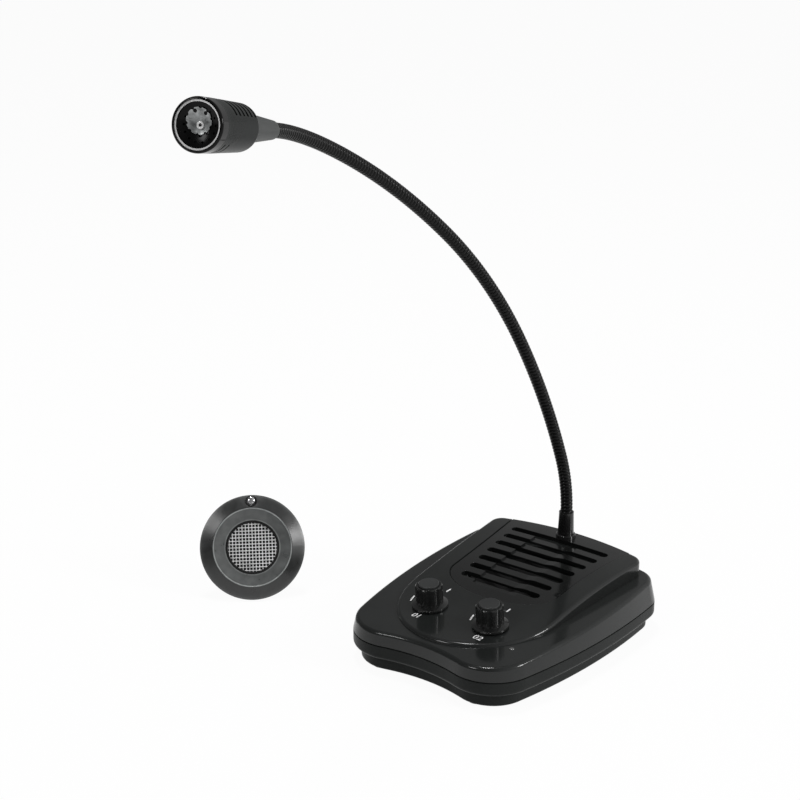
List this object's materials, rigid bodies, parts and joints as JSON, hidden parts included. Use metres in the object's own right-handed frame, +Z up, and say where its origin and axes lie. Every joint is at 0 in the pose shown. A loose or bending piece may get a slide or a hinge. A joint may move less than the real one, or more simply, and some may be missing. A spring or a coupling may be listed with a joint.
{
  "type": "teller window intercom",
  "caption": "Black counter intercom: waisted desk unit with volume knobs and slotted loudspeaker panel, a gooseneck microphone, and a round outside station with a square mesh.",
  "frame": {"origin": "middle of the desk unit's underside, at the counter; the underside mount lies on the vertical through it", "axes": "+X to the user's right, +Y to the back of the desk unit, +Z up"},
  "size_m": [0.2761, 0.3465, 0.3716],
  "materials": {
    "shell_black": "satin",
    "panel_black": "gloss",
    "knob_black": "gloss",
    "cap_black": "satin",
    "foot_rubber": "matte",
    "screw_black": "satin",
    "ballast_steel": "matte",
    "lens_smoke": "gloss",
    "speaker_steel": "satin",
    "speaker_paper": "matte",
    "magnet_grey": "matte",
    "board_green": "satin",
    "parts_dark": "matte",
    "pot_metal": "satin",
    "shaft_metal": "satin",
    "socket_black": "matte",
    "rocker_black": "gloss",
    "collar_black": "gloss",
    "neck_black": "satin",
    "head_black": "satin",
    "bezel_black": "gloss",
    "ring_chrome": "gloss",
    "dish_black": "gloss",
    "capsule_metal": "satin",
    "station_grey": "satin",
    "mesh_steel": "satin",
    "station_dark": "satin"
  },
  "bodies": {
    "desk_unit": {"lower_shell": "shell_black", "upper_shell": "shell_black", "grille_panel": "panel_black", "rubber_feet": "foot_rubber", "case_screws": "screw_black", "ballast_plate": "ballast_steel", "led_lens": "lens_smoke", "speaker_frame": "speaker_steel", "speaker_cone": "speaker_paper", "speaker_magnet": "magnet_grey", "speaker_screws": "screw_black", "main_board": "board_green", "board_parts": "parts_dark", "board_screws": "screw_black", "pot_bodies": "pot_metal", "pot_nuts": "pot_metal", "dc_inlet": "socket_black", "station_socket": "socket_black", "line_socket": "socket_black", "rocker_frame": "socket_black", "neck_nut": "collar_black", "neck_collar": "collar_black", "neck_lock_nut": "pot_metal", "neck_section_1": "neck_black"},
    "knob_1": {"knob_1_body": "knob_black", "knob_1_cap": "cap_black", "knob_1_shaft": "shaft_metal"},
    "knob_2": {"knob_2_body": "knob_black", "knob_2_cap": "cap_black", "knob_2_shaft": "shaft_metal"},
    "rocker": {"rocker": "rocker_black"},
    "neck_2": {"neck_section_2": "neck_black"},
    "neck_3": {"neck_section_3": "neck_black"},
    "neck_4": {"neck_section_4": "neck_black"},
    "head": {"neck_section_5": "neck_black", "head_boot": "head_black", "head_shell": "head_black", "head_bezel": "bezel_black", "head_ring": "ring_chrome", "head_dish": "dish_black", "mic_capsule": "capsule_metal", "capsule_holder": "parts_dark"},
    "station": {"station_flange": "station_grey", "station_mesh": "mesh_steel", "station_housing": "station_dark", "station_unit": "parts_dark", "station_screw": "screw_black", "station_jack": "socket_black"}
  },
  "joints": [
    {"name": "knob_1_turn", "type": "hinge", "parent": "desk_unit", "child": "knob_1", "pos_m": [-0.0229, -0.04357, 0.03245], "axis": [0, -0.0976, 0.9952], "range_deg": [-150, 150]},
    {"name": "knob_2_turn", "type": "hinge", "parent": "desk_unit", "child": "knob_2", "pos_m": [0.0229, -0.04357, 0.03245], "axis": [0, -0.0976, 0.9952], "range_deg": [-150, 150]},
    {"name": "rocker_tilt", "type": "hinge", "parent": "desk_unit", "child": "rocker", "pos_m": [0.0215, 0.0844, 0.0259], "axis": [0, 0, -1], "range_deg": [-14, 0]},
    {"name": "neck_lean", "type": "hinge", "parent": "desk_unit", "child": "neck_2", "pos_m": [-0.00251, 0.06826, 0.10175], "axis": [0.9618, -0.2677, 0.0567], "range_deg": [-24, 24]},
    {"name": "neck_sway", "type": "hinge", "parent": "neck_2", "child": "neck_3", "pos_m": [-0.01546, 0.03889, 0.18279], "axis": [0.0094, -0.9036, -0.4283], "range_deg": [-24, 24]},
    {"name": "neck_reach", "type": "hinge", "parent": "neck_3", "child": "neck_4", "pos_m": [-0.03179, -0.01863, 0.26122], "axis": [0.9241, 0.1347, 0.3576], "range_deg": [-24, 24]},
    {"name": "head_turn", "type": "hinge", "parent": "neck_4", "child": "head", "pos_m": [-0.04183, -0.09541, 0.31608], "axis": [0.8166, -0.3111, -0.4863], "range_deg": [-24, 24]},
    {"name": "station_lift", "type": "slide", "parent": "desk_unit", "child": "station", "axis": [0, 0, 1], "range_m": [0, 0.1]}
  ]
}
